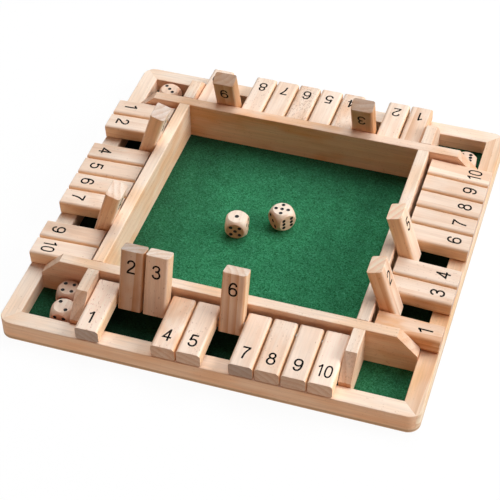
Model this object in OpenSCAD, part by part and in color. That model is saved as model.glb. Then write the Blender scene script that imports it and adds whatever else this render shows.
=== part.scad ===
// Four-player shut the box game: a square tray of wooden walls, a row of ten
// hinged number tiles on each side, and the dice.
// Millimetres. The origin is the middle of the underside, +Z is up and the
// front player sits towards -Y.

/* [Tiles] */
// Width of one tile across its row
tile_w = 17.2; // [14:0.1:22]
// Gap between two neighbouring tiles
tile_gap = 1.15; // [0.6:0.05:2]
// Thickness of a tile
tile_t = 11.5; // [9:0.1:14]
// Radius of a tile's four long edges
tile_round = 2.4; // [0.5:0.1:4]
// Radius of the eased edges round a tile's two ends
tile_ease = 0.5; // [0.2:0.1:1]
// Set-back of a lying tile's end from the board's outer edge
tile_setback = 0.25; // [0:0.05:3]

/* [Rods] */
// Diameter of the steel rod that a row of tiles turns on
rod_d = 3; // [2:0.1:4]
// Radial clearance of a tile on its rod
rod_clear = 0.1; // [0.02:0.01:0.1]
// Radial clearance of a rod in its blind sockets
socket_clear = 0.05; // [0.02:0.01:0.1]
// Depth of the blind socket at each end of a rod
socket_depth = 5; // [2:0.1:6]
// Distance from the rod's axis to the tile's hinge end
rod_inset = 6.6; // [4.5:0.1:7.5]
// Gap that a tile's hinge end keeps to the tray wall as it swings past
swing_gap = 0.85; // [0.3:0.05:3]
// Height of the rod's axis above the rails
rod_rise = 7.6; // [6.2:0.1:10]
// Gap under a lying tile's end and between a raised tile and the wall
stop_gap = 0.1; // [0.05:0.01:0.3]

/* [Frame] */
// Thickness of the base board
base_t = 3; // [2:0.1:8]
// Thickness of the felt
felt_t = 1; // [0.5:0.1:3]
// Width of the outer rails
rail_w = 13; // [9:0.1:25]
// Height of the outer rails above the base board
rail_h = 12.7; // [8:0.1:18]
// Radius of the board's four corners
corner_r = 9; // [2:0.1:12]
// Width of the channel between the tray walls and the rails
channel_w = 36.65; // [34:0.05:60]
// Thickness of the tray walls and dividers
wall_t = 8.6; // [7:0.1:16]
// Height of the tray walls above the felt
wall_h = 30.2; // [26:0.1:40]
// Upright height left at a wall's end above the rail, below its sloped corner
end_shoulder = 3.5; // [1:0.1:8]
// Radius of the eased upper edges of rails and walls
edge_ease = 0.7; // [0.3:0.1:1.5]

/* [Dice] */
// Edge of a die
die_size = 16; // [12:0.5:18]
// Radius of the ball that rounds a die's corners, as a share of its edge
die_ball = 0.65; // [0.6:0.005:0.75]
// Distance from a face's middle to its outer pips
pip_pitch = 3.25; // [2:0.05:4]
// Diameter of a pip
pip_d = 2.9; // [1.5:0.1:3.2]
// Diameter of the single pip of a one
one_d = 3.3; // [1.5:0.1:4]
// Depth of a pip
pip_depth = 0.5; // [0.2:0.05:1]

/* [Hidden] */
sides = ["front", "right", "back", "left"];
tiles_per_side = 10;
// The numbers of the tiles that stand raised, side by side
raised = [[2, 3, 6], [2, 5], [3, 9], [3, 8]];

$fn = 48;
eps = 0.01;

tile_pitch = tile_w + tile_gap;
tray_w = tiles_per_side * tile_pitch;
tray_half = tray_w / 2;
wall_out = tray_half + wall_t;
rail_in = wall_out + channel_w;
board_half = rail_in + rail_w;
felt_top = base_t + felt_t;
rail_top = base_t + rail_h;
wall_top = felt_top + wall_h;
end_top = rail_top + end_shoulder;
end_slope = wall_top - end_top;
corner_at = board_half - corner_r;

tile_half = tile_t / 2;
// The middles of a tile's eased edges, above or below its mid-plane
ease_at = tile_half - tile_ease;
// The corners of a tile's hinge end swing past the wall with the gap to spare
rod_offset = norm([rod_inset - tile_ease, ease_at]) + tile_ease + swing_gap;
rod_r = wall_out + rod_offset;
rod_z = rail_top + rod_rise;
tile_reach = board_half - tile_setback - rod_r;
// A lying tile droops until its far lower edge meets the rail
droop = asin((rod_rise - stop_gap - tile_ease) / norm([tile_reach - tile_ease, ease_at]))
    - atan(ease_at / (tile_reach - tile_ease));
// A raised tile leans past upright until its face meets the wall's eased edge,
// whose middle is this far from the rod's axis, inwards and upwards
edge_in = rod_offset + edge_ease;
edge_up = wall_top - edge_ease - rod_z;
lean = acos((tile_half + stop_gap + edge_ease) / norm([edge_in, edge_up])) - atan(edge_up / edge_in);

// Where a die lies against a tray wall, or against a rail, in a corner well
near_wall = wall_out + die_size / 2;
near_rail = rail_in - die_size / 2;
// Each die: its middle, its turn about the vertical and how it is tumbled
dice = [
    [[-21.6, -5], 7, [0, 0, 0]],
    [[8, 12.5], 48, [-90, 0, 0]],
    [[-near_wall - 4.1, -near_wall - 1.1], 2.5, [0, -90, 0]],
    [[-near_wall - 1, -near_rail + 2], -91, [90, 0, 0]],
    [[-near_rail + 8.5, near_rail - 6], 3, [0, 90, 0]],
    [[near_rail - 2.6, near_wall + 1.7], 5, [180, 0, 0]],
];

pine = "#F0D3AC";
beech = "#F6DFC2";
birch_ply = "#C9AE8A";
felt_green = "#22693F";
steel = "#B9BCC0";

function tile_name(side, n) = str(sides[side], "_tile_", n);
function die_name(i) = str("die_", i + 1);
function is_raised(side, n) = len(search(n, raised[side])) > 0;

// A square of half-width h with its corners rounded to radius r
module rounded_square(h, r) {
    square([2 * h, 2 * (h - r)], center = true);
    square([2 * (h - r), 2 * h], center = true);
    for (x = [-1, 1], y = [-1, 1])
        translate([x * (h - r), y * (h - r)]) circle(r);
}

// A tile's section: w wide, t thick, with all four corners rounded
module tile_section() {
    r = min(tile_round, tile_half - eps);
    square([tile_w, tile_t - 2 * r], center = true);
    square([tile_w - 2 * r, tile_t], center = true);
    for (x = [-1, 1], y = [-1, 1])
        translate([x * (tile_w / 2 - r), y * (tile_half - r)]) circle(r);
}

// A bar's section: w wide, h high, standing on its base, upper corners eased
module bar_section(w, h) {
    square([w, h - edge_ease]);
    translate([edge_ease, 0]) square([w - 2 * edge_ease, h]);
    for (x = [edge_ease, w - edge_ease])
        translate([x, h - edge_ease]) circle(edge_ease);
}

// A bar along +X from the origin, w deep towards +Y and h high
module bar(length, w, h) {
    rotate([90, 0, 90]) linear_extrude(length) bar_section(w, h);
}

// The rounded outer corner of a rail: a quarter turn about its own middle
module rail_corner() {
    rotate([0, 0, -90]) rotate_extrude(angle = 90) intersection() {
        translate([-corner_r, 0]) bar_section(2 * corner_r, rail_h);
        square([corner_r, rail_h]);
    }
}

// The front rail: a straight bar with a quarter round at each end, mitred
module rail() {
    translate([0, 0, base_t]) intersection() {
        union() {
            translate([-corner_at, -board_half, 0]) bar(2 * corner_at, rail_w, rail_h);
            translate([corner_at, -corner_at, 0]) rail_corner();
            mirror([1, 0, 0]) translate([corner_at, -corner_at, 0]) rail_corner();
        }
        linear_extrude(rail_h)
            polygon([
                [-board_half, -board_half], [board_half, -board_half],
                [rail_in, -rail_in], [-rail_in, -rail_in]
            ]);
    }
}

// The blind hole for a rod's end, along +X from the origin
module socket() {
    rotate([0, 90, 0])
        translate([0, 0, -eps]) cylinder(h = socket_depth + eps, d = rod_d + 2 * socket_clear);
}

// The front wall of the tray: it runs from side rail to side rail, with its
// upper ends sloped off, and holds the ends of the side rows' rods
module long_wall() {
    difference() {
        intersection() {
            translate([-rail_in, -wall_out, felt_top]) bar(2 * rail_in, wall_t, wall_h);
            translate([0, -tray_half, 0]) rotate([90, 0, 0]) linear_extrude(wall_t)
                polygon([
                    [-rail_in, felt_top], [rail_in, felt_top],
                    [rail_in, end_top], [rail_in - end_slope, wall_top],
                    [end_slope - rail_in, wall_top], [-rail_in, end_top]
                ]);
        }
        for (x = [-rod_r, rod_r])
            translate([x, -tray_half, rod_z]) rotate([0, 0, -90]) socket();
    }
}

// A side wall of the tray, between the two long walls, on the right
module short_wall() {
    translate([wall_out, -tray_half, felt_top])
        rotate([0, 0, 90]) bar(tray_w, wall_t, wall_h);
}

// The divider between the front row and its right-hand well: it runs on from
// the side wall to the rail and holds one end of the row's rod
module divider() {
    difference() {
        intersection() {
            translate([wall_out, -rail_in, felt_top])
                rotate([0, 0, 90]) bar(channel_w, wall_t, wall_h);
            translate([tray_half, 0, 0]) rotate([90, 0, 90]) linear_extrude(wall_t)
                polygon([
                    [-wall_out, felt_top], [-wall_out, wall_top],
                    [end_slope - rail_in, wall_top], [-rail_in, end_top],
                    [-rail_in, felt_top]
                ]);
        }
        translate([tray_half, -rod_r, rod_z]) socket();
    }
}

module divider_pair() {
    divider();
    mirror([1, 0, 0]) divider();
}

// The rod of the front row, from socket to socket
module rod() {
    translate([-tray_half - socket_depth, -rod_r, rod_z])
        rotate([0, 90, 0]) cylinder(h = tray_w + 2 * socket_depth, d = rod_d);
}

module rod_pair() {
    for (turn = [0, 180])
        rotate([0, 0, turn]) rod();
}

// A rectangle l long from the origin along X and w wide, its corners eased
module eased_plate(l, w) {
    translate([0, -w / 2 + tile_ease]) square([l, w - 2 * tile_ease]);
    translate([tile_ease, -w / 2]) square([l - 2 * tile_ease, w]);
    for (x = [tile_ease, l - tile_ease], y = [-1, 1])
        translate([x, y * (w / 2 - tile_ease)]) circle(tile_ease);
}

// One tile with its rod hole, lying level, the hole's axis on the X axis and
// the free end towards -Y; its ends are eased seen from above and from the side
module tile_blank() {
    tile_l = rod_inset + tile_reach;
    difference() {
        translate([0, rod_inset, 0]) intersection() {
            rotate([90, 0, 0]) linear_extrude(tile_l) tile_section();
            rotate([0, 0, -90]) translate([0, 0, -tile_t])
                linear_extrude(2 * tile_t) eased_plate(tile_l, tile_w);
            rotate([0, 90, 0]) rotate([0, 0, -90]) translate([0, 0, -tile_w])
                linear_extrude(2 * tile_w) eased_plate(tile_l, tile_t);
        }
        rotate([0, 90, 0])
            cylinder(h = tile_w + 2, d = rod_d + 2 * rod_clear, center = true);
    }
}

// Tile number n of a side, at rest: lying on the rail, or raised against the wall
module tile(side, n) {
    tilt = is_raised(side, n) ? -90 - lean : droop;
    color(beech)
        rotate([0, 0, 90 * side])
        translate([(n - (tiles_per_side + 1) / 2) * tile_pitch, -rod_r, rod_z])
        rotate([tilt, 0, 0]) tile_blank();
}

// Pips of diameter d cut into the upper face, given as steps of pip_pitch
module pips(spots, d = pip_d) {
    ball = (d * d / 4 + pip_depth * pip_depth) / (2 * pip_depth);
    for (p = spots)
        translate([p.x * pip_pitch, p.y * pip_pitch, die_size / 2 - pip_depth + ball])
            sphere(ball);
}

// A die with 1 up, 5 in front and 4 on the right; opposite faces add up to 7
module die_blank() {
    corners = [for (x = [-1, 1], y = [-1, 1]) [x, y]];
    difference() {
        intersection() {
            cube(die_size, center = true);
            sphere(die_size * die_ball);
        }
        pips([[0, 0]], one_d);
        rotate([180, 0, 0]) pips([for (x = [-1, 1], y = [-1:1]) [x, y]]);
        rotate([-90, 0, 0]) pips([[-1, -1], [1, 1]]);
        rotate([90, 0, 0]) pips(concat(corners, [[0, 0]]));
        rotate([0, -90, 0]) pips([[1, -1], [0, 0], [-1, 1]]);
        rotate([0, 90, 0]) pips(corners);
    }
}

module die(i) {
    d = dice[i];
    color(beech)
        translate([d[0].x, d[0].y, felt_top + die_size / 2])
        rotate([0, 0, d[1]]) rotate(d[2]) die_blank();
}

module base_board() {
    color(birch_ply) linear_extrude(base_t) rounded_square(board_half, corner_r);
}

// Felt glued over the whole base inside the rails; the walls stand on it
module felt_lining() {
    color(felt_green) translate([0, 0, base_t + felt_t / 2])
        cube([2 * rail_in, 2 * rail_in, felt_t], center = true);
}

base_board();
felt_lining();
for (side = [0:3])
    color(pine) rotate([0, 0, 90 * side]) rail();
color(pine) long_wall();  // front_wall
color(pine) rotate([0, 0, 180]) long_wall();  // back_wall
color(pine) short_wall();  // right_wall
color(pine) rotate([0, 0, 180]) short_wall();  // left_wall
color(pine) divider_pair();  // front_dividers
color(pine) rotate([0, 0, 180]) divider_pair();  // back_dividers
color(steel) rod_pair();  // long_row_rods
color(steel) rotate([0, 0, 90]) rod_pair();  // side_row_rods
for (side = [0:3], n = [1:tiles_per_side])
    tile(side, n);
for (i = [0:len(dice) - 1])
    die(i);
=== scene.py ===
"""Looks of a four-player shut the box game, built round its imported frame.

The game is a square tray of pine walls lined with green felt, inside an outer
frame of pine rails on a plywood base. Each side has ten beech tiles that turn
on a steel rod, numbered on both broad faces, and six beech dice lie about.
Sizes are in millimetres in the fields and in metres in the meshes. The origin
is the middle of the underside, +Z is up and the front player sits towards -Y.
"""

import logging
import math
from dataclasses import dataclass, field, replace
from enum import Enum

import bpy
import numpy as np
from bpy.types import ID, Material, NodeSocket, NodeTree, Object
from mathutils import Euler, Matrix, Vector


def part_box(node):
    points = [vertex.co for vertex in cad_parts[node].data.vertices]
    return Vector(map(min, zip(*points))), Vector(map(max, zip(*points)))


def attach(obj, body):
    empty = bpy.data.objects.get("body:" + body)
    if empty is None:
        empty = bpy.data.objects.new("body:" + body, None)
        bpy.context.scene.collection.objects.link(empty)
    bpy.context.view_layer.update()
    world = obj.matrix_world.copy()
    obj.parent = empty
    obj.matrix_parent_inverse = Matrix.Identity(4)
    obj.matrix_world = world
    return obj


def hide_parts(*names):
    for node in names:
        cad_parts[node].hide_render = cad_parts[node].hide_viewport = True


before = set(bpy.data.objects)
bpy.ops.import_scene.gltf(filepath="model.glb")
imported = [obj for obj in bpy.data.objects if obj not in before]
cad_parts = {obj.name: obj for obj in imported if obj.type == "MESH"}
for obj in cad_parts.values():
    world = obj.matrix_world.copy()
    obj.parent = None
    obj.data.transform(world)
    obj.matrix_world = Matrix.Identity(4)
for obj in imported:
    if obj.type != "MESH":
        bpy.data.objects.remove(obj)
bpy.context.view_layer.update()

MM = 0.001
LOG = logging.getLogger("shut_the_box")
Pair = tuple[float, float]
Triple = tuple[float, float, float]
# Points, one row each, and faces as lists of point numbers
Solid = tuple[np.ndarray, list]
# Settings of a map range with soft ends, of a mix of two colours, and of one colour tinted by another
SOFTLY = {"interpolation_type": "SMOOTHSTEP"}
MIXED = {"data_type": "RGBA"}
TINTED = {"data_type": "RGBA", "blend_type": "MULTIPLY"}
# A face counts as square to an axis from the second of these cosines on, and not below the first
SQUARE_ON = (0.55, 0.9)


class Side(Enum):
    """A side of the board, as the number of quarter turns from the front."""

    FRONT = 0
    RIGHT = 1
    BACK = 2
    LEFT = 3

    @property
    def label(self) -> str:
        """The side's name as the nodes spell it."""
        return self.name.lower()

    @property
    def angle(self) -> float:
        """Degrees from the front side, anticlockwise seen from above."""
        return 90.0 * self.value


def linear(colour: str) -> tuple[float, float, float, float]:
    """Turns an sRGB hex colour into linear light along the standard's curve, with an alpha of one."""
    parts = [int(colour[i : i + 2], 16) / 255 for i in (1, 3, 5)]
    light = [c / 12.92 if c <= 0.04045 else ((c + 0.055) / 1.055) ** 2.4 for c in parts]
    return (*light, 1.0)


def add_node(tree: NodeTree, kind: str, inputs: dict | tuple = (), **settings) -> NodeSocket | None:
    """Adds a shader node, with its settings, its fixed inputs and its links.

    Args:
        tree: the material's or world's node tree.
        kind: the node's type, without ShaderNode in front.
        inputs: value, hex colour or output socket for each input, by name or
            number, or for all from the first on, as a map range's value, the
            two ends that it comes from and the two that it goes to.
        **settings: the node's own options.

    Returns:
        The first of its outputs that the settings leave in use, if it has one.
    """
    node = tree.nodes.new(f"ShaderNode{kind}")
    for name, value in settings.items():
        setattr(node, name, value)
    for key, value in inputs.items() if isinstance(inputs, dict) else enumerate(inputs):
        if isinstance(value, NodeSocket):
            tree.links.new(value, node.inputs[key])
        else:
            node.inputs[key].default_value = linear(value) if isinstance(value, str) else value
    return next((output for output in node.outputs if output.enabled), None)


def new_tree(owner: ID) -> NodeTree:
    """Empties and returns the node tree of a material or world."""
    owner.use_nodes = True
    owner.node_tree.nodes.clear()
    return owner.node_tree


def new_material(name: str) -> tuple[Material, NodeTree]:
    """Makes a material and returns it with its empty node tree."""
    material = bpy.data.materials.new(name)
    return material, new_tree(material)


def per_mm(size: float) -> float:
    """Noise scale at which one feature is about so many millimetres wide."""
    return 1 / (size * MM)


def rings_per_mm(size: float) -> float:
    """Wave scale at which neighbouring rings stand so many millimetres apart.

    At scale 1 the wave texture has 20 / 2 pi of them in a metre.
    """
    return 2 * math.pi / 20 / (size * MM)


def dress(piece: Object, finish: Material) -> None:
    """Puts a finish into the material slots of a piece."""
    if not piece.material_slots:
        piece.data.materials.append(finish)
    for place in piece.material_slots:
        place.material = finish


def add_object(name: str, data: ID) -> Object:
    """Adds an object with a mesh, a lamp or a camera to the scene."""
    made = bpy.data.objects.new(name, data)
    bpy.context.scene.collection.objects.link(made)
    return made


def add_mesh(name: str, points: np.ndarray, faces: list) -> Object:
    """Adds an object with a new mesh of these points and faces."""
    mesh = bpy.data.meshes.new(name)
    mesh.from_pydata(points.tolist(), [], faces)
    return add_object(name, mesh)


def merged(parts: list[Solid]) -> Solid:
    """Puts the points and the faces of several solids together."""
    starts = np.cumsum([0] + [len(points) for points, _ in parts]).tolist()
    faces = [[start + i for i in face] for (_, rings), start in zip(parts, starts) for face in rings]
    return np.vstack([points for points, _ in parts]), faces


def make_piece(name: str, solid: Solid, finish: Material, body: str) -> Object:
    """Makes a finished piece that rides on a body.

    Args:
        name: the piece's name.
        solid: its points in metres, already in place, and its faces.
        finish: its material.
        body: the body it rides on.

    Returns:
        The new object.
    """
    piece = add_mesh(name, *solid)
    piece.data.validate()
    dress(piece, finish)
    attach(piece, body)
    return piece


def moved(points: np.ndarray, place: Matrix) -> np.ndarray:
    """Applies a place to rows of points."""
    matrix = np.array(place)
    return points @ matrix[:3, :3].T + matrix[:3, 3]


def radians(degrees: tuple[float, ...]) -> list[float]:
    """Turns each angle from degrees into radians."""
    return [math.radians(angle) for angle in degrees]


def rotation(degrees: tuple[float, ...]) -> Matrix:
    """The 4 by 4 rotation by so many degrees about X, then Y, then Z."""
    return Euler(radians(degrees)).to_matrix().to_4x4()


def facing_share(tree: NodeTree, normal: NodeSocket, axis: Vector) -> NodeSocket:
    """One on the faces square to an axis and nought on the others, with a soft change between."""
    facing = add_node(tree, "VectorMath", (normal, axis), operation="DOT_PRODUCT")
    squarely = add_node(tree, "Math", (facing,), operation="ABSOLUTE")
    return add_node(tree, "MapRange", (squarely, *SQUARE_ON), **SOFTLY)


@dataclass(frozen=True)
class Look:
    """How one piece's wood differs from the plain wood.

    Tone says how light it is, warmth, figure and pores how much of the wood's
    warm patches, rings and pores it shows, and ground how warm it is between
    the patches; on some pieces tone, warmth and ground also stand in for the
    light that falls there, as painted light and shade. End and side say how
    strongly its ends and its narrow faces, square to its own X, are tinted
    darker, the ends for their end grain and as painted shade, the narrow faces
    as painted warm shade, or, below nought, made paler as painted light. The
    last says how far its hue is turned to the red, as a share of the colour
    circle: a painted warm shade.
    """

    tone: float = 1.0
    warmth: float = 0.3
    figure: float = 0.35
    pores: float = 0.35
    ground: float = 0.05
    end: float = 1.0
    side: float = 1.0
    blush: float = 0.0


@dataclass(frozen=True)
class Cut:
    """How a piece was cut from its plank, so that its grain follows it.

    The piece's own +Y runs along the grain. Origin is in millimetres and turn
    in degrees about X, Y and Z; the seed chooses the part of the plank.
    """

    origin: Triple
    turn: Triple
    seed: int
    look: Look


@dataclass(frozen=True)
class Wood:
    """Sawn and sanded wood as a solid figure: rings round a pith beside the piece.

    Long faces show the rings as faint lines and flames, and ends show them as
    clearer arcs. Fibre streaks, short pores and warm patches lie along the grain.
    A field ending in along says how little a pattern changes along the grain,
    and one ending in edge gives the levels at which a mark begins and is full.
    """

    name: str
    light: str
    late: str
    warm: str
    pore: str
    # Tints for the ends and the narrow faces: the end tint is darker end grain and painted shade, the side
    # tint a painted warm shade
    end_tint: str
    side_tint: str
    ring_mm: float
    ring_share: float
    pore_share: float
    fibre_share: float
    plank_mm: float
    end_ring_share: float = 0.42
    waver: float = 8.0
    fibre_mm: float = 1.3
    pore_mm: float = 0.9
    patch_mm: float = 9.0
    pith_drift_mm: float = 9.0
    pith_depth: Pair = (0.5, 1.3)
    pith_slant: float = 2.5
    ring_along: float = 0.12
    fibre_along: float = 0.045
    pore_along: float = 0.45
    ring_edge: Pair = (0.2, 0.97)
    fibre_edge: Pair = (0.3, 0.7)
    patch_edge: Pair = (0.4, 0.66)
    pore_edge: Pair = (0.72, 0.81)
    pore_reach: float = 0.12
    pore_sink: float = 0.8
    roughness: Pair = (0.65, 0.5)
    bump: float = 0.2
    relief_mm: float = 0.15

    def finish(self, label: str, cut: Cut) -> Material:
        """Makes the finish of one piece.

        Args:
            label: the piece's name, which the material takes.
            cut: where and how the piece was cut.

        Returns:
            The new material.
        """
        look = cut.look
        draw = np.random.default_rng(cut.seed)
        pith = Vector((
            draw.uniform(-1, 1) * self.plank_mm,
            draw.uniform(-self.pith_drift_mm, self.pith_drift_mm),
            draw.uniform(*self.pith_depth) * self.plank_mm,
        ))
        slant = np.radians(draw.uniform(-self.pith_slant, self.pith_slant, 2))
        material, tree = new_material(f"{self.name}_{label}")
        where = add_node(tree, "TexCoord").node.outputs
        own = add_node(
            tree, "Mapping",
            {"Vector": where["Object"], "Location": Vector(cut.origin) * MM, "Rotation": radians(cut.turn)},
            vector_type="TEXTURE",
        )
        plank = add_node(
            tree, "Mapping",
            {
                "Vector": own, "Location": pith * MM,
                "Rotation": (slant[0], 0, slant[1]), "Scale": (1, self.ring_along, 1),
            },
        )
        # Masks of the ends and of the narrow faces, which take the painted shade tints
        end_share, side_share = (
            facing_share(tree, where["Normal"], rotation(cut.turn) @ Vector(axis))
            for axis in ((0, 1, 0), (1, 0, 0))
        )
        rings = add_node(
            tree, "TexWave",
            {
                "Vector": plank, "Scale": rings_per_mm(self.ring_mm), "Distortion": self.waver,
                "Detail": 2.0, "Detail Scale": 0.35, "Detail Roughness": 0.6,
            },
            wave_type="RINGS", rings_direction="Y", wave_profile="SAW",
        ).node.outputs["Fac"]
        levels = self.ring_share * look.figure, self.end_ring_share
        clearness = add_node(tree, "MapRange", (end_share, 0.0, 1.0, *levels))
        lateness = add_node(tree, "MapRange", (rings, *self.ring_edge, 0.0, clearness), **SOFTLY)
        fibre, pores, patches = (
            add_node(
                tree, "TexNoise",
                {
                    "Vector": add_node(tree, "VectorMath", (own, (1, along, 1)), operation="MULTIPLY"),
                    "W": cut.seed * step, "Scale": per_mm(size), "Detail": detail,
                },
                noise_dimensions="4D",
            )
            for along, step, size, detail in (
                (self.fibre_along, 1.7, self.fibre_mm, 3.0),
                (self.pore_along, 2.3, self.pore_mm, 1.0),
                (self.pore_along, 3.1, self.patch_mm, 2.0),
            )
        )
        patchy = add_node(tree, "MapRange", (patches, *self.patch_edge, look.ground, look.warmth), **SOFTLY)
        warmed = add_node(tree, "Mix", {0: patchy, 6: self.light, 7: self.warm}, **MIXED)
        ring_tint = [late / light for late, light in zip(linear(self.late), linear(self.light))]
        ringed = add_node(tree, "Mix", {0: lateness, 6: warmed, 7: ring_tint}, **TINTED)
        tones = [look.tone * (1 + sign * self.fibre_share) for sign in (-1, 1)]
        streak = add_node(tree, "MapRange", (fibre, *self.fibre_edge, *tones))
        # Hue turned a little to the red: a painted warm shade, used on the back wall
        streaked = add_node(
            tree, "HueSaturation", {"Color": ringed, "Value": streak, "Hue": 0.5 - look.blush}
        )
        pore_edge = [level - self.pore_reach * look.pores for level in self.pore_edge]
        flecks = add_node(tree, "MapRange", (pores, *pore_edge, 0.0, self.pore_share), **SOFTLY)
        colour = add_node(tree, "Mix", {0: flecks, 6: streaked, 7: self.pore}, **MIXED)
        # Ends darkened for end grain and as painted shade, narrow faces tinted as painted warm shade, and
        # made paler as painted light where the amount is below nought
        tints = (end_share, self.end_tint, look.end), (side_share, self.side_tint, look.side)
        for share, tint, amount in tints:
            tinted = [1 - amount * (1 - level) for level in linear(tint)]
            colour = add_node(tree, "Mix", {0: share, 6: colour, 7: tinted}, **TINTED)
        sheen = add_node(tree, "MapRange", (fibre, *self.fibre_edge, *self.roughness))
        relief = add_node(tree, "Math", (flecks, -self.pore_sink, fibre), operation="MULTIPLY_ADD")
        raised = add_node(
            tree, "Bump", {"Strength": self.bump, "Distance": self.relief_mm * MM, "Height": relief}
        )
        inputs = {"Base Color": colour, "Roughness": sheen, "Normal": raised}
        shader = add_node(tree, "BsdfPrincipled", inputs)
        add_node(tree, "OutputMaterial", (shader,))
        return material


# Beech: close, even and pinkish cream, with faint rings and short brown pores; sanded to a satin face
BEECH = Wood(
    name="sanded_beech", light="#F9E2CE", late="#DCAA7E", warm="#E6AF80", pore="#A06A44",
    end_tint="#D9DEE6", side_tint="#FFF5E1",
    ring_mm=5.0, ring_share=0.6, pore_share=0.45, fibre_share=0.06, plank_mm=34, fibre_mm=1.1,
    patch_mm=12.0,
)
# The same beech tumbled into dice, without long streaks; its tints make their side faces darker
# and warmer than the top, as painted shade and, on the end-grain faces, also end grain
DIE_BEECH = Wood(
    name="tumbled_beech", light="#FCE8D3", late="#DFBA9C", warm="#DCA580", pore="#94633F",
    end_tint="#DFB3A0", side_tint="#FFEAE0",
    ring_mm=2.8, ring_share=0.45, pore_share=0.4, fibre_share=0.04, plank_mm=20, end_ring_share=0.3,
    roughness=(0.5, 0.4),
)
# Pine: honey cream, planed, with soft orange lines of latewood and a clear matt lacquer
PINE = Wood(
    name="planed_pine", light="#F8E3CF", late="#D4985F", warm="#EFB77E", pore="#A97545",
    end_tint="#DAB89E", side_tint="#FFF4EC",
    ring_mm=6.5, ring_share=0.5, pore_share=0.35, fibre_share=0.085, plank_mm=40, fibre_mm=1.2,
    patch_mm=18.0,
)


@dataclass(frozen=True)
class Plywood:
    """Thin birch plywood: pale faces with the browner cross ply between them."""

    thickness: float
    face: str = "#E2CDB4"
    core: str = "#BE9C7A"
    fleck: str = "#8B6846"
    ply_mm: float = 1.0
    ply_edge: Pair = (0.65, 0.4)
    core_share: float = 0.8
    grain_mm: float = 1.6
    grain_along: float = 0.06
    fleck_edge: Pair = (0.45, 0.75)
    fleck_share: float = 0.35
    relief_mm: float = 0.1

    def finish(self) -> Material:
        """Makes the finish of a board that lies flat on z = 0."""
        material, tree = new_material("birch_plywood")
        where = add_node(tree, "TexCoord").node.outputs["Object"]
        height = add_node(tree, "SeparateXYZ", (where,)).node.outputs["Z"]
        off_middle = add_node(tree, "Math", (height, self.thickness / 2 * MM), operation="SUBTRACT")
        distance = add_node(tree, "Math", (off_middle,), operation="ABSOLUTE")
        ply_edge = [share * self.ply_mm * MM for share in self.ply_edge]
        inner = add_node(tree, "MapRange", (distance, *ply_edge, 0.0, self.core_share), **SOFTLY)
        stretched = add_node(tree, "VectorMath", (where, (self.grain_along, 1, 1)), operation="MULTIPLY")
        grain = add_node(
            tree, "TexNoise", {"Vector": stretched, "Scale": per_mm(self.grain_mm), "Detail": 3.0}
        )
        layered = add_node(tree, "Mix", {0: inner, 6: self.face, 7: self.core}, **MIXED)
        speck = add_node(tree, "MapRange", (grain, *self.fleck_edge, 0.0, self.fleck_share))
        colour = add_node(tree, "Mix", {0: speck, 6: layered, 7: self.fleck}, **MIXED)
        raised = add_node(tree, "Bump", {"Strength": 0.3, "Distance": self.relief_mm * MM, "Height": grain})
        inputs = {"Base Color": colour, "Roughness": 0.7, "Normal": raised}
        shader = add_node(tree, "BsdfPrincipled", inputs)
        add_node(tree, "OutputMaterial", (shader,))
        return material


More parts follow.
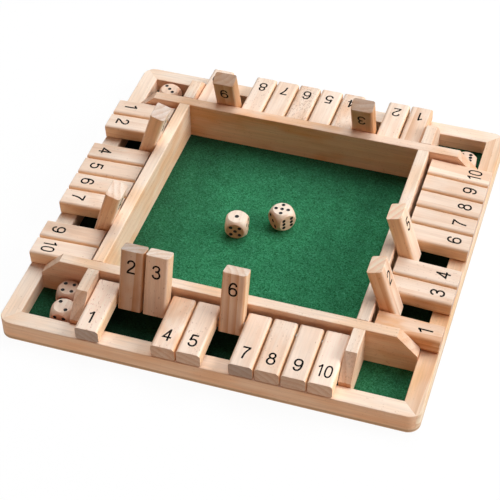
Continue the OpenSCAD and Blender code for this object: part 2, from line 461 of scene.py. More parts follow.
@dataclass(frozen=True)
class WoolFelt:
    """Pressed wool felt: matt, a little fuzzy, its fibres lying in every direction.

    Real fibres are too fine to show, so the flecks are drawn about a millimetre
    wide. The wells and the strips under the tile rows are darkened as painted
    shade, and so is the felt towards the left and the back walls.
    """

    middle: str = "#2A794E"
    shade: str = "#0F4A28"
    fibre: str = "#4FA07A"
    fibre_mm: float = 1.25
    shade_edge: Pair = (0.5, 0.34)
    fibre_edge: Pair = (0.5, 0.68)
    fibre_share: float = 0.8
    cloud_mm: float = 9.0
    cloud_edge: Pair = (0.3, 0.7)
    cloud_levels: Pair = (0.84, 1.14)
    tray_half: float = 91.75
    wall_out: float = 100.35
    well_level: float = 0.72
    # Painted shade levels: the wells and channels outside the walls, the strips under the tile rows, and
    # the felt near the left and back walls over the last stretch
    strip_level: float = 0.3
    edge_level: float = 0.46
    edge_mm: float = 55.0
    nap_mm: float = 0.4

    def finish(self) -> Material:
        """Makes the felt's finish."""
        material, tree = new_material("pressed_green_felt")
        where = add_node(tree, "TexCoord").node.outputs["Object"]
        folded = add_node(tree, "VectorMath", (where,), operation="ABSOLUTE")
        sides = add_node(tree, "SeparateXYZ", (folded,)).node.outputs[:2]
        far = add_node(tree, "Math", sides, operation="MAXIMUM")
        near = add_node(tree, "Math", sides, operation="MINIMUM")
        # Masks for the painted shade: outside the walls, and the strips under the tile rows there
        outside = add_node(tree, "Math", (far, self.wall_out * MM), operation="GREATER_THAN")
        between = add_node(tree, "Math", (near, self.tray_half * MM), operation="LESS_THAN")
        in_strip = add_node(tree, "Math", (outside, between), operation="MULTIPLY")
        fine = add_node(
            tree, "TexNoise",
            {
                "Vector": where, "Scale": per_mm(self.fibre_mm), "Detail": 3.0,
                "Roughness": 0.65, "Distortion": 1.2,
            },
        )
        cloud = add_node(tree, "TexNoise", {"Vector": where, "Scale": per_mm(self.cloud_mm), "Detail": 3.0})
        dark = add_node(tree, "MapRange", (fine, *self.shade_edge))
        shaded = add_node(tree, "Mix", {0: dark, 6: self.middle, 7: self.shade}, **MIXED)
        bright = add_node(tree, "MapRange", (fine, *self.fibre_edge, 0.0, self.fibre_share))
        lit = add_node(tree, "Mix", {0: bright, 6: shaded, 7: self.fibre}, **MIXED)
        value = add_node(tree, "MapRange", (cloud, *self.cloud_edge, *self.cloud_levels))
        # Painted shade: darker outside the walls, darker again under the tile rows, and darker towards the
        # left and back walls
        x, y = add_node(tree, "SeparateXYZ", (where,)).node.outputs[:2]
        inner, rim = (self.tray_half - self.edge_mm) * MM, self.tray_half * MM
        for measure, start, stop, level in (
            (outside, 0.0, 1.0, self.well_level), (in_strip, 0.0, 1.0, self.strip_level),
            (x, -inner, -rim, self.edge_level), (y, inner, rim, self.edge_level),
        ):
            shade = add_node(tree, "MapRange", (measure, start, stop, 1.0, level))
            value = add_node(tree, "Math", (value, shade), operation="MULTIPLY")
        colour = add_node(tree, "HueSaturation", {"Color": lit, "Value": value})
        raised = add_node(tree, "Bump", {"Strength": 0.6, "Distance": self.nap_mm * MM, "Height": fine})
        shader = add_node(
            tree, "BsdfPrincipled",
            {
                "Base Color": colour, "Roughness": 0.95, "Normal": raised, "IOR": 1.45,
                "Specular IOR Level": 0.2, "Sheen Weight": 0.12, "Sheen Roughness": 0.5,
                "Sheen Tint": "#7FC79C",
            },
        )
        add_node(tree, "OutputMaterial", (shader,))
        return material


@dataclass(frozen=True)
class BrushedSteel:
    """Drawn steel rod, finely scratched round its length."""

    colour: str = "#C3C4C6"
    worn: str = "#A5A6A8"
    scratch_mm: float = 0.5
    scratch_edge: Pair = (0.3, 0.7)
    roughness: Pair = (0.22, 0.4)

    def finish(self) -> Material:
        """Makes the rods' finish."""
        material, tree = new_material("drawn_steel")
        where = add_node(tree, "TexCoord").node.outputs["Object"]
        scratch = add_node(tree, "TexNoise", {"Vector": where, "Scale": per_mm(self.scratch_mm)})
        colour = add_node(tree, "Mix", {0: scratch, 6: self.colour, 7: self.worn}, **MIXED)
        rough = add_node(tree, "MapRange", (scratch, *self.scratch_edge, *self.roughness))
        inputs = {"Base Color": colour, "Roughness": rough, "Metallic": 1.0}
        shader = add_node(tree, "BsdfPrincipled", inputs)
        add_node(tree, "OutputMaterial", (shader,))
        return material


@dataclass(frozen=True)
class Paint:
    """Black printing ink or pip paint, thin enough to break up a little on the wood."""

    name: str
    colour: str
    worn: str
    roughness: float
    specular: float
    speck_mm: float = 0.7
    speck_edge: Pair = (0.5, 0.75)

    def finish(self) -> Material:
        """Makes the paint's finish."""
        material, tree = new_material(self.name)
        where = add_node(tree, "TexCoord").node.outputs["Object"]
        speck = add_node(tree, "TexNoise", {"Vector": where, "Scale": per_mm(self.speck_mm)})
        thin = add_node(tree, "MapRange", (speck, *self.speck_edge))
        colour = add_node(tree, "Mix", {0: thin, 6: self.colour, 7: self.worn}, **MIXED)
        shader = add_node(
            tree, "BsdfPrincipled",
            {"Base Color": colour, "Roughness": self.roughness, "Specular IOR Level": self.specular},
        )
        add_node(tree, "OutputMaterial", (shader,))
        return material


# Matt black printing ink, a little thin in places
INK = Paint(name="printed_ink", colour="#080605", worn="#1C1612", roughness=0.85, specular=0.1)
# Black enamel dabbed into the pips
PIP_PAINT = Paint(name="pip_paint", colour="#090706", worn="#1E1916", roughness=0.6, specular=0.3)


@dataclass(frozen=True)
class Stroke:
    """One pen stroke of a digit, as points of its middle line in thousandths of the digit's height.

    A smooth stroke runs through its points on a curve, and a closed one comes
    back to its start.
    """

    points: tuple[Pair, ...]
    smooth: bool = True
    closed: bool = False

    def line(self, steps: int = 8) -> np.ndarray:
        """Samples the middle line.

        A smooth stroke is a Catmull-Rom curve: between two points it is the
        cubic whose slope at each end is half the step between the neighbours.

        Args:
            steps: samples between two points.

        Returns:
            One row of x and y for each sample, as shares of the digit's height.
        """
        keys = np.array(self.points, float) / 1000
        if not self.smooth:
            return keys
        if self.closed:
            padded = np.vstack([keys[-1], keys, keys[0], keys[1]])
        else:
            padded = np.vstack([2 * keys[0] - keys[1], keys, 2 * keys[-1] - keys[-2]])
        t = (np.arange(steps) / steps)[None, :, None]
        a, b, c, d = (padded[i : len(padded) - 3 + i, None, :] for i in range(4))
        curve = 0.5 * (
            2 * b + (c - a) * t + (2 * a - 5 * b + 4 * c - d) * t**2 + (3 * b - a - 3 * c + d) * t**3
        )
        samples = curve.reshape(-1, 2)
        return samples if self.closed else np.vstack([samples, keys[-1]])

    def solid(self, width: float, depth: float) -> Solid:
        """A rectangular profile carried along the middle line.

        Each sample goes half a width to either side along its mitre: the mean
        of the two neighbouring normals over the cosine of half the turn.

        Args:
            width: the stroke's width.
            depth: its thickness, from z = 0 up.

        Returns:
            Vertices and quad faces of the closed solid.
        """
        line = self.line()
        count = len(line)
        ahead = np.roll(line, -1, axis=0) - line
        if not self.closed:
            ahead[-1] = ahead[-2]
        ahead /= np.linalg.norm(ahead, axis=1, keepdims=True)
        behind = np.roll(ahead, 1, axis=0)
        if not self.closed:
            behind[0] = ahead[0]
        mean = ahead + behind
        mean /= np.linalg.norm(mean, axis=1, keepdims=True)
        reach = width / 2 / np.sum(mean * ahead, axis=1, keepdims=True)
        side = np.stack([-mean[:, 1], mean[:, 0]], axis=1) * reach
        flat = np.stack([line + side, line - side, line - side, line + side], axis=1)
        height = np.broadcast_to(np.array([0, 0, depth, depth])[None, :, None], (count, 4, 1))
        points = np.concatenate([flat, height], axis=2).reshape(-1, 3)
        start = np.arange(count if self.closed else count - 1)[:, None] * 4
        following = (start + 4) % (4 * count)
        corner = np.arange(4)[None, :]
        turned = (corner + 1) % 4
        quads = np.stack([start + corner, following + corner, following + turned, start + turned], axis=2)
        faces = quads.reshape(-1, 4).tolist()
        if not self.closed:
            last = 4 * (count - 1)
            faces += [[0, 1, 2, 3], [last + 3, last + 2, last + 1, last]]
        return points, faces


def loop(upper: tuple, lower: tuple) -> Stroke:
    """A closed stroke that is its own mirror image, from the points of its right half.

    Upper goes from the rightmost point to the top, and lower from the bottom up.
    """
    left = [(-x, y) for x, y in (*upper[-2::-1], *lower[:0:-1])]
    return Stroke((*upper, *left, *lower), closed=True)


def turned_round(stroke: Stroke) -> Stroke:
    """The stroke turned half round the digit's middle."""
    return replace(stroke, points=tuple((-x, 1000 - y) for x, y in stroke.points))


UNDER = ((0, 52.5), (125, 80), (215, 170))
SIX = (
    loop(((245, 312), (215, 455), (125, 545), (0, 575)), UNDER),
    Stroke(((222, 735), (185, 860), (105, 930), (10, 947.5), (-100, 915), (-185, 815), (-235, 660),
            (-252, 490), (-244, 312))),
)
# Plain upright digits of one stroke width, each within 0.31 of its middle
DIGITS: dict[str, tuple[Stroke, ...]] = {
    "0": (loop(((250, 500), (232, 720), (155, 885), (0, 947.5)), ((0, 52.5), (155, 115), (232, 280))),),
    "1": (Stroke(((75, 0), (75, 1000)), smooth=False),
          Stroke(((-185, 755), (-85, 810), (10, 885), (60, 965)))),
    "2": (Stroke(((-237, 690), (-205, 830), (-115, 920), (5, 947.5), (130, 918), (212, 830), (232, 715),
                  (193, 595), (95, 465), (-55, 325), (-175, 195), (-240, 60))),
          Stroke(((-295, 52.5), (285, 52.5)), smooth=False)),
    "3": (Stroke(((-235, 725), (-195, 850), (-105, 925), (0, 947.5), (115, 920), (190, 835), (197, 725),
                  (145, 615), (45, 555), (-75, 540))),
          Stroke(((-10, 545), (90, 530), (185, 455), (235, 335), (222, 205), (140, 95), (0, 52.5),
                  (-120, 80), (-205, 155), (-250, 285)))),
    "4": (Stroke(((105, 0), (105, 1000)), smooth=False),
          Stroke(((112, 955), (-245, 292.5), (300, 292.5)), smooth=False)),
    "5": (Stroke(((240, 947.5), (-150, 947.5), (-222, 475)), smooth=False),
          Stroke(((-215, 490), (-125, 575), (-5, 605), (125, 575), (215, 475), (243, 335), (212, 190),
                  (120, 85), (-10, 52.5), (-130, 85), (-210, 160), (-250, 280)))),
    "6": SIX,
    "7": (Stroke(((-260, 947.5), (275, 947.5)), smooth=False),
          Stroke(((240, 930), (130, 775), (30, 580), (-40, 360), (-85, 0)))),
    "8": (loop(((193, 745), (167, 845), (95, 920), (0, 947.5)), ((0, 544.5), (95, 572), (167, 645))),
          loop(((245, 300), (215, 425), (125, 520), (0, 550.5)), UNDER)),
    "9": tuple(turned_round(stroke) for stroke in SIX),
}


@dataclass
class DigitStamp:
    """The printing stamp of the ten numbers: a thin solid for each digit."""

    height: float = 10.4
    stroke_share: float = 0.128
    ink: float = 0.04
    sunk: float = 0.04
    advance: float = 0.61
    condensed: float = 0.82
    one_nudge: float = -0.07
    block: float = 0.2
    solids: dict[str, Solid] = field(default_factory=dict)

    def cut(self) -> None:
        """Fuses the strokes of each digit into one closed solid, one unit high and deep.

        They are fused as a thinner block, which is then drawn out.
        """
        for digit, strokes in DIGITS.items():
            made = [
                add_mesh(f"stroke_{digit}_{number}", *stroke.solid(self.stroke_share, self.block))
                for number, stroke in enumerate(strokes)
            ]
            whole = made[0]
            for other in made[1:]:
                joining = whole.modifiers.new("join", "BOOLEAN")
                joining.operation, joining.solver, joining.object = "UNION", "EXACT", other
            bpy.context.view_layer.update()
            joined = whole.evaluated_get(bpy.context.evaluated_depsgraph_get())
            fused = bpy.data.meshes.new_from_object(joined)
            points = np.array([v.co for v in fused.vertices], float) * (1, 1, 1 / self.block)
            self.solids[digit] = points, [list(p.vertices) for p in fused.polygons]
            for piece in made:
                bpy.data.objects.remove(piece)

    def number(self, text: str, upward: float) -> Solid:
        """Lays a number out round the origin of its face.

        Args:
            text: the number's digits.
            upward: 1 where the digits' tops point to the hinge, on the face
                that is up when the tile lies, and -1 on the other face.

        Returns:
            Vertices in millimetres, z from the face outwards, and faces.
        """
        parts = []
        starts = (np.arange(len(text)) - (len(text) - 1) / 2) * self.advance
        width = self.height * (self.condensed if len(text) > 1 else 1.0)
        for digit, start in zip(text, starts):
            shape, rings = self.solids[digit]
            x = (shape[:, 0] + start + self.one_nudge * (digit == "1")) * width
            y = (shape[:, 1] - 0.5) * self.height * upward
            z = (shape[:, 2] * (self.ink + self.sunk) - self.sunk) * upward
            parts.append((np.stack([x, y, z], axis=1), rings))
        return merged(parts)


# The tiles that stand out: streaked, striped, orange with flames, or full of pores. Some
# settings also paint light and shade: front tiles 1, 4, 5 and 10 are lightened against the
# shadows falling on them, back tiles 3 and 9 darkened and reddened for their shaded inner
# faces, the ends of front tiles 1 and 7 darkened as painted shade, and the upward ends of
# some raised tiles tinted less, on right tiles 2 and 5 made paler, as painted light.
MARKED = {
    Side.FRONT: {
        1: Look(tone=1.1, warmth=0.2, figure=0.15, pores=0.8, end=1.8),
        2: Look(tone=0.78, warmth=0.8, figure=1.4, ground=0.15),
        3: Look(warmth=0.2, pores=0.5, end=0.5),
        4: Look(tone=1.05, warmth=0.7, pores=0.5),
        5: Look(tone=1.06, warmth=0.2, pores=0.7),
        6: Look(tone=0.98, warmth=0.35, figure=1.3, end=0.5),
        7: Look(end=1.7),
        10: Look(tone=1.12, warmth=0.2, figure=0.15),
    },
    Side.RIGHT: {
        1: Look(tone=1.04, warmth=1.2, figure=1.1, ground=0.4),
        2: Look(tone=1.03, warmth=0.5, figure=0.9, pores=0.5, end=-0.8),
        5: Look(tone=1.12, warmth=0.2, pores=0.4, end=-0.8, ground=0.14),
        10: Look(tone=1.18, warmth=0.25, figure=0.8),
    },
    Side.BACK: {
        1: Look(tone=0.97, warmth=0.5, figure=1.0),
        3: Look(tone=0.82, warmth=1.1, figure=0.8, ground=0.6),
        4: Look(tone=0.97, warmth=0.7, pores=1.0),
        6: Look(tone=0.97, warmth=0.6, pores=1.4),
        8: Look(warmth=0.1, pores=0.8),
        9: Look(tone=0.78, warmth=1.1, figure=0.8, ground=0.75),
    },
    Side.LEFT: {
        4: Look(warmth=0.5, figure=0.6),
        8: Look(tone=0.97, warmth=0.5, figure=0.5, pores=0.7, end=0.3),
        10: Look(tone=1.04, warmth=0.15, figure=0.15),
    },
}


@dataclass
class TileRow:
    """Ten beech tiles of one side, on their rod, with the numbers printed on them.

    Bleach and amber say how much paler and warmer than plain each side's tiles
    Two lists, from the front round to the left, make each side's tiles paler or
    darker and warmer than plain: painted light and shade for how the light falls on that row.
    """

    side: Side
    raised: tuple[int, ...]
    stamp: DigitStamp
    pitch: float = 18.35
    thick: float = 11.5
    tile_ease: float = 0.5
    tile_end: float = 149.75
    inset: float = 6.6
    swing_gap: float = 0.85
    stop_gap: float = 0.1
    wall_out: float = 100.35
    wall_top: float = 34.2
    wall_ease: float = 0.7
    rail_top: float = 15.7
    rod_rise: float = 7.6
    print_in: float = 12.0
    # Painted light and shade per row: tone, then warmth, from the front round to the left
    bleach: tuple[float, ...] = (1.02, 0.92, 1.0, 1.04)
    amber: tuple[float, ...] = (0.0, 0.08, 0.0, 0.0)
    count: int = 10
    first_seed: int = 100
    side_seeds: int = 20
    look_seed: int = 900

    @property
    def ease_at(self) -> float:
        """The middles of a tile's eased edges, above or below its mid-plane."""
        return self.thick / 2 - self.tile_ease

    @property
    def rod_offset(self) -> float:
        """From the wall to the rod, so that a tile's hinge end swings clear."""
        return math.hypot(self.inset - self.tile_ease, self.ease_at) + self.tile_ease + self.swing_gap

    @property
    def reach(self) -> float:
        """From the rod to a tile's free end."""
        return self.tile_end - self.wall_out - self.rod_offset

    @property
    def droop(self) -> float:
        """Degrees below level at which a lying tile's far edge meets the rail."""
        length = self.reach - self.tile_ease
        drop = self.rod_rise - self.stop_gap - self.tile_ease
        slope = math.asin(drop / math.hypot(length, self.ease_at))
        return math.degrees(slope - math.atan2(self.ease_at, length))

    @property
    def lean(self) -> float:
        """Degrees past upright at which a raised tile meets the wall's eased edge."""
        inward = self.rod_offset + self.wall_ease
        upward = self.wall_top - self.wall_ease - self.rail_top - self.rod_rise
        near = self.thick / 2 + self.stop_gap + self.wall_ease
        return math.degrees(math.acos(near / math.hypot(inward, upward)) - math.atan2(upward, inward))

    def place(self, number: int) -> Matrix:
        """The place of a tile whose hinge is on X and whose free end is towards -Y."""
        tilt = -90 - self.lean if number in self.raised else self.droop
        along = (number - (self.count + 1) / 2) * self.pitch
        middle = Vector((along, -self.wall_out - self.rod_offset, self.rail_top + self.rod_rise)) * MM
        return (
            Matrix.Rotation(math.radians(self.side.angle), 4, "Z")
            @ Matrix.Translation(middle)
            @ Matrix.Rotation(math.radians(tilt), 4, "X")
        )

    def grain(self, number: int) -> Cut:
        """How a tile was cut: its grain runs along it, and each differs a little."""
        place = self.place(number)
        seed = self.first_seed + self.side_seeds * self.side.value + number
        draw = np.random.default_rng(self.look_seed + seed)
        plain = Look(
            tone=draw.uniform(0.985, 1.015), warmth=draw.uniform(0.1, 0.5),
            figure=draw.uniform(0.15, 0.55), pores=draw.uniform(0.1, 0.6),
        )
        look = MARKED[self.side].get(number, plain)
        # Painted light and shade for this row's side
        tone = look.tone * self.bleach[self.side.value]
        ground = look.ground + self.amber[self.side.value]
        turn = tuple(math.degrees(a) for a in place.to_euler("XYZ"))
        return Cut(tuple(place.translation / MM), turn, seed, replace(look, tone=tone, ground=ground))

    def print_number(self, number: int, ink: Material) -> None:
        """Prints a tile's number on both broad faces, to be read from its own side."""
        parts = []
        for upward in (1, -1):
            shape, faces = self.stamp.number(str(number), upward)
            parts.append((shape + (0, self.print_in - self.reach, upward * self.thick / 2), faces))
        points, faces = merged(parts)
        printed = moved(points * MM, self.place(number)), faces
        side = self.side.label
        make_piece(f"{side}_number_{number}", printed, ink, f"{side}_tile_{number}")

    def build(self, ink: Material) -> int:
        """Dresses and prints every tile of the row, and returns their number."""
        for number in range(1, self.count + 1):
            name = f"{self.side.label}_tile_{number}"
            dress(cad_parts[name], BEECH.finish(name, self.grain(number)))
            self.print_number(number, ink)
        return self.count


@dataclass
class Frame:
    """The outer rails, the tray's walls and dividers, the rods and the base board.

    Rails and walls are listed from the front round to the left.
    """

    base_t: float = 3.0
    wall_middle: float = 96.05
    rail_middle: float = 143.5
    rail_height: float = 9.0
    wall_height: float = 19.0
    rail_seed: int = 11
    wall_seed: int = 21
    divider_seed: int = 31
    # The tones also even out the light, paler at the left and front and darker at the right, as painted
    # light and shade; the right rail's faces square to its X, its lit outer face among them, are made paler
    # as painted light, and the back wall is warmed and its hue turned red as painted warm shade for its
    # shaded inner face
    rails: tuple[Look, ...] = (
        Look(tone=1.03, warmth=0.45, figure=0.25, pores=0.4, ground=0.04, side=0.0),
        Look(tone=0.95, warmth=0.9, figure=0.8, pores=0.4, ground=0.42, side=-2.5),
        Look(warmth=0.3, figure=0.3, pores=0.4, ground=0.03),
        Look(tone=1.06, warmth=0.3, figure=0.2, pores=0.4, ground=0.03),
    )
    walls: tuple[Look, ...] = (
        Look(warmth=0.6, figure=0.25, pores=0.6, ground=0.1),
        Look(warmth=0.4, figure=0.25, pores=0.6, ground=0.05),
        Look(tone=0.98, warmth=0.85, figure=0.25, pores=0.6, ground=0.25, blush=0.004),
        Look(tone=1.07, warmth=0.6, figure=0.25, pores=0.6, ground=0.07),
    )
    divider: Look = Look(warmth=0.35, figure=0.5, pores=0.9)

    def build(self) -> int:
        """Dresses every fixed wooden and steel node and returns how many there are."""
        steel, board = BrushedSteel().finish(), Plywood(self.base_t).finish()
        finishes = {"long_row_rods": steel, "side_row_rods": steel, "base_board": board}
        rows = (
            ("rail", self.rail_middle, self.rail_height, self.rail_seed, self.rails),
            ("wall", self.wall_middle, self.wall_height, self.wall_seed, self.walls),
        )
        for side in Side:
            ahead = Matrix.Rotation(math.radians(side.angle), 3, "Z") @ Vector((0, -1, 0))
            for part, middle, height, seed, looks in rows:
                name = f"{side.label}_{part}"
                origin = tuple(ahead * middle + Vector((0, 0, height)))
                cut = Cut(origin, (0.0, 0.0, side.angle + 90), seed + side.value, looks[side.value])
                finishes[name] = PINE.finish(name, cut)
        for number, name in enumerate(("front_dividers", "back_dividers")):
            cut = Cut((0, 0, self.wall_height), (0, 0, 0), self.divider_seed + number, self.divider)
            finishes[name] = PINE.finish(name, cut)
        for name, finish in finishes.items():
            dress(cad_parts[name], finish)
        return len(finishes)


@dataclass
class FeltLining:
    """The felt glued over the base inside the rails."""

    width: float = 274.0
    low: float = 3.0
    high: float = 4.0
    ripple: float = 0.08
    waves: int = 8
    wave_mm: Pair = (7.0, 40.0)
    seed: int = 7
    cells: int = 137

    def build(self) -> Object:
        """Makes the felt as one closed sheet that replaces its plain node.

        The upper surface is a square grid. Its height is the felt's less a
        share of the ripple: the mean of some crossing sine waves with drawn
        directions, lengths and phases, scaled to 0 to 1.

        Returns:
            The sheet.
        """
        steps = self.cells + 1
        across = np.linspace(-self.width / 2, self.width / 2, steps)
        x, y = np.meshgrid(across, across, indexing="ij")
        draw = np.random.default_rng(self.seed)
        angle, length, phase = (
            draw.uniform(*ends, self.waves)[:, None, None]
            for ends in ((0, np.pi), self.wave_mm, (0, 2 * np.pi))
        )
        along = x * np.cos(angle) + y * np.sin(angle)
        waves = np.sin(along * 2 * np.pi / length + phase).mean(axis=0)
        z = self.high - self.ripple * (0.5 + 0.5 * waves)
        top = np.stack([x, y, z], axis=2).reshape(-1, 3)
        index = np.arange(steps * steps).reshape(steps, steps)
        quads = np.stack([index[:-1, :-1], index[1:, :-1], index[1:, 1:], index[:-1, 1:]], axis=2)
        rim = np.concatenate([index[:-1, 0], index[-1, :-1], index[:0:-1, -1], index[0, :0:-1]])
        under = top[rim] * (1, 1, 0) + (0, 0, self.low)
        lower = steps * steps + np.arange(len(rim))
        sides = np.stack([rim, lower, np.roll(lower, -1), np.roll(rim, -1)], axis=1)
        faces = quads.reshape(-1, 4).tolist() + sides.tolist() + [lower[::-1].tolist()]
        solid = np.vstack([top, under]) * MM, faces
        sheet = make_piece("felt_sheet", solid, WoolFelt().finish(), "root")
        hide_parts("felt_lining")
        return sheet


@dataclass(frozen=True)
class DieLie:
    """How a die lies, its turn and tumble in degrees, and how its wood looks.

    The grain runs level, at so many degrees from the face that yaw turns, set so
    that the darker end tint falls on a face in shade as painted shade. Tone,
    warmth and ground are partly the die's own wood and partly painted light and
    shade for how its place is lit.
    """

    yaw: float
    tumble: Triple
    grain: float = 0.0
    warmth: float = 0.2
    tone: float = 1.0
    ground: float = 0.05


@dataclass
class Dice:
    """Six beech dice with black pips: opposite faces add up to seven.

    Each face is the turn that brings it up, and the places of its pips.
    """

    size: float = 16.0
    pip_pitch: float = 3.25
    pip_d: float = 2.9
    one_d: float = 3.3
    pip_depth: float = 0.5
    paint: float = 0.03
    paint_reach: float = 0.98
    figure: float = 0.5
    pores: float = 0.4
    first_seed: int = 501
    # The grain turns put the end tint on shaded faces, and some tones paint the light where the dice lie
    lies: tuple[DieLie, ...] = (
        DieLie(7, (0, 0, 0)),
        DieLie(48, (-90, 0, 0), grain=90),
        DieLie(2.5, (0, -90, 0), warmth=1.0, tone=0.91, ground=0.5),
        DieLie(-91, (90, 0, 0), grain=90, warmth=0.4, tone=1.08),
        DieLie(3, (0, 90, 0), warmth=0.8, tone=1.12, ground=0.45),
        DieLie(5, (180, 0, 0), warmth=0.5, tone=0.97, ground=0.2),
    )
    faces: tuple = (
        ((0, 0, 0), ((0, 0),)),
        ((180, 0, 0), tuple((x, y) for x in (-1, 1) for y in (-1, 0, 1))),
        ((-90, 0, 0), ((-1, -1), (1, 1))),
        ((90, 0, 0), ((-1, -1), (-1, 1), (1, -1), (1, 1), (0, 0))),
        ((0, -90, 0), ((1, -1), (0, 0), (-1, 1))),
        ((0, 90, 0), ((-1, -1), (-1, 1), (1, -1), (1, 1))),
    )

    def pip(self, width: float, rings: int = 5, spokes: int = 20) -> Solid:
        """The paint in one pip, as a closed lens that follows the drilled dish.

        The dish is part of a ball: at a distance r from the pip's middle it is
        ball - sqrt(ball^2 - r^2) above its lowest point. The paint's upper skin
        is a little above it, its lower skin as far below, and both meet at the rim.

        Args:
            width: the pip's diameter.
            rings: steps from the middle to the rim.
            spokes: steps round the middle.

        Returns:
            Vertices in millimetres on a face at z = size / 2, and faces.
        """
        half = width / 2
        ball = (half**2 + self.pip_depth**2) / (2 * self.pip_depth)
        share = (np.arange(1, rings + 1) / rings)[:, None]
        angle = (np.arange(spokes) * 2 * np.pi / spokes)[None, :]
        r = half * self.paint_reach * share
        dish = self.size / 2 - self.pip_depth + ball - np.sqrt(ball**2 - r**2)
        x, y = r * np.cos(angle), r * np.sin(angle)
        skins, faces, count = [], [], 1 + rings * spokes
        for sign in (1, -1):
            z = np.broadcast_to(dish + sign * self.paint * (1 - share**4), x.shape)
            middle = [[0, 0, self.size / 2 - self.pip_depth + sign * self.paint]]
            skins.append(np.vstack([middle, np.stack([x, y, z], axis=2).reshape(-1, 3)]))
        ring = 1 + np.arange(rings * spokes).reshape(rings, spokes)
        turned = np.roll(ring, -1, axis=1)
        fan = np.stack([np.zeros(spokes, int), ring[0], turned[0]], axis=1)
        quads = np.stack([ring[:-1], ring[1:], turned[1:], turned[:-1]], axis=2).reshape(-1, 4)
        rim = np.stack([ring[-1], ring[-1] + count, turned[-1] + count, turned[-1]], axis=1)
        faces = fan.tolist() + quads.tolist() + (fan[:, ::-1] + count).tolist()
        faces += (quads[:, ::-1] + count).tolist() + rim.tolist()
        return np.vstack(skins), faces

    def build(self) -> int:
        """Dresses every die and paints its pips, and returns the number of dice."""
        paint = PIP_PAINT.finish()
        small, large = self.pip(self.pip_d), self.pip(self.one_d)
        for number, lie in enumerate(self.lies):
            name = f"die_{number + 1}"
            low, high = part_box(name)
            turn = rotation((0, 0, lie.yaw)) @ rotation(lie.tumble)
            place = Matrix.Translation((low + high) / 2) @ turn
            look = Look(lie.tone, lie.warmth, self.figure, self.pores, lie.ground)
            origin = tuple(place.translation / MM)
            grain = Cut(origin, (0, 0, lie.yaw + lie.grain), self.first_seed + number, look)
            dress(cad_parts[name], DIE_BEECH.finish(name, grain))
            parts = []
            for face_turn, spots in self.faces:
                dish, faces = large if len(spots) == 1 else small
                for x, y in spots:
                    spot = dish + (x * self.pip_pitch, y * self.pip_pitch, 0)
                    parts.append((moved(spot, rotation(face_turn)), faces))
            points, faces = merged(parts)
            make_piece(f"{name}_pips", (moved(points * MM, place), faces), paint, name)
        return len(self.lies)


@dataclass(frozen=True)
class Softbox:
    """A large soft lamp. Level 1 lights a white card that faces it to plain white."""

    name: str
    location: Triple
    level: float
    width: float
    colour: str = "#FFFFFF"

    def hang(self) -> None:
        """Hangs the lamp so that it faces the board's middle."""
        light = bpy.data.lights.new(self.name, "AREA")
        distance = Vector(self.location).length
        light.shape = "SQUARE"
        light.size = self.width
        light.energy = self.level * math.pi**2 * distance**2
        light.color = linear(self.colour)[:3]
        lamp = add_object(self.name, light)
        lamp.location = self.location
        lamp.rotation_euler = (-Vector(self.location)).to_track_quat("-Z", "Y").to_euler()


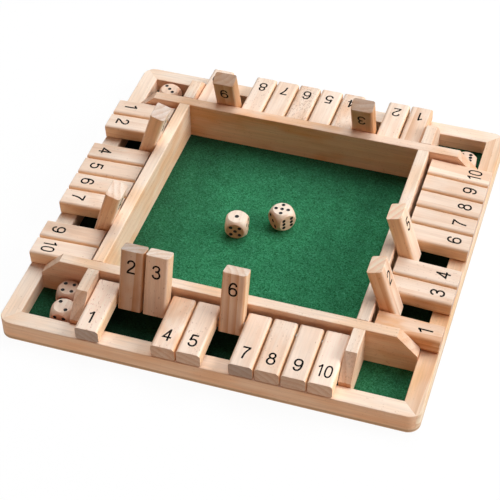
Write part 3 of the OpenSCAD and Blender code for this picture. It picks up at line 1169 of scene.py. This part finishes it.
@dataclass
class Studio:
    """The pale floor, the soft light and the camera."""

    floor_half: float = 6.0
    floor_glow: str = "#E0C4A8"
    shadow_share: float = 0.05
    floor_level: float = 1.005
    floor_drop: float = 0.2
    sky: float = 0.02
    lamps: tuple[Softbox, ...] = (
        Softbox("right_softbox", (3.46, 0.85, 2.06), 0.86, 2.6, "#FEFEFE"),
        Softbox("back_softbox", (0.20, 2.02, 3.58), 0.76, 2.8, "#F2FAFF"),
        Softbox("front_card", (0.0, -3.6, 2.0), 0.10, 3.0, "#FFA678"),
    )
    eye: Triple = (0.23955, -0.77336, 0.77860)
    azimuth: float = 18.110
    elevation: float = 44.359
    roll: float = -0.711
    lens: float = 108.25

    def light_up(self) -> None:
        """Hangs the lamps and fills the room with an even pale light."""
        for lamp in self.lamps:
            lamp.hang()
        world = bpy.data.worlds.new("pale_room")
        bpy.context.scene.world = world
        tree = new_tree(world)
        room, white = (
            add_node(tree, "Background", {"Color": "#FFFFFF", "Strength": level})
            for level in (self.sky, 1.0)
        )
        mixed = add_node(tree, "MixShader", (self.seen_share(tree), room, white))
        add_node(tree, "OutputWorld", (mixed,))

    def seen_share(self, tree: NodeTree) -> NodeSocket:
        """One for a ray from the camera or off a glossy or clear surface, else nought."""
        ray = add_node(tree, "LightPath").node.outputs
        looked = add_node(tree, "Math", (ray["Is Camera Ray"], ray["Is Glossy Ray"]), operation="MAXIMUM")
        return add_node(tree, "Math", (looked, ray["Is Transmission Ray"]), operation="MAXIMUM")

    def lay_floor(self) -> None:
        """Lays the plain pale floor, which keeps a faint shadow of the board."""
        corners = np.array([(-1, -1, 0), (1, -1, 0), (1, 1, 0), (-1, 1, 0)]) * self.floor_half
        floor = add_mesh("floor", corners, [[0, 1, 2, 3]])
        floor.location.z = -self.floor_drop * MM
        material, tree = new_material("pale_floor")
        share = self.shadow_share
        bounce = add_node(tree, "Emission", {"Color": self.floor_glow})
        matt = add_node(tree, "BsdfDiffuse", {"Color": (share, share, share, 1)})
        glow = add_node(tree, "Emission", {"Color": "#FFFFFF", "Strength": self.floor_level - share})
        shown = add_node(tree, "AddShader", (matt, glow))
        mixed = add_node(tree, "MixShader", (self.seen_share(tree), bounce, shown))
        add_node(tree, "OutputMaterial", (mixed,))
        dress(floor, material)

    def set_camera(self) -> None:
        """Sets the camera where the picture was taken from."""
        lens = bpy.data.cameras.new("camera")
        lens.lens = self.lens
        lens.clip_start, lens.clip_end = 0.05, 50
        camera = add_object("camera", lens)
        azimuth, elevation, roll = radians((self.azimuth, self.elevation, self.roll))
        away = math.cos(elevation)
        back = Vector((math.sin(azimuth) * away, -math.cos(azimuth) * away, math.sin(elevation)))
        level = Vector((math.cos(azimuth), math.sin(azimuth), 0))
        up = back.cross(level)
        right = level * math.cos(roll) + up * math.sin(roll)
        turn = Matrix((right, back.cross(right), back)).transposed()
        camera.matrix_world = Matrix.Translation(self.eye) @ turn.to_4x4()
        bpy.context.scene.camera = camera
        bpy.context.scene.view_settings.view_transform = "Standard"


def main() -> None:
    """Builds the game piece by piece and reports each."""
    logging.basicConfig(level=logging.INFO, format="%(name)s: %(message)s")
    studio = Studio()
    studio.set_camera()
    studio.light_up()
    studio.lay_floor()
    LOG.info("camera, lamps and floor are set")
    LOG.info("fixed nodes dressed: %d", Frame().build())
    LOG.info("felt made: %s", FeltLining().build().name)
    stamp = DigitStamp()
    stamp.cut()
    ink = INK.finish()
    raised = {Side.FRONT: (2, 3, 6), Side.RIGHT: (2, 5), Side.BACK: (3, 9), Side.LEFT: (3, 8)}
    for side in Side:
        LOG.info("%s row: %d tiles", side.label, TileRow(side, raised[side], stamp).build(ink))
    LOG.info("dice painted: %d", Dice().build())


if __name__ == "__main__":
    main()
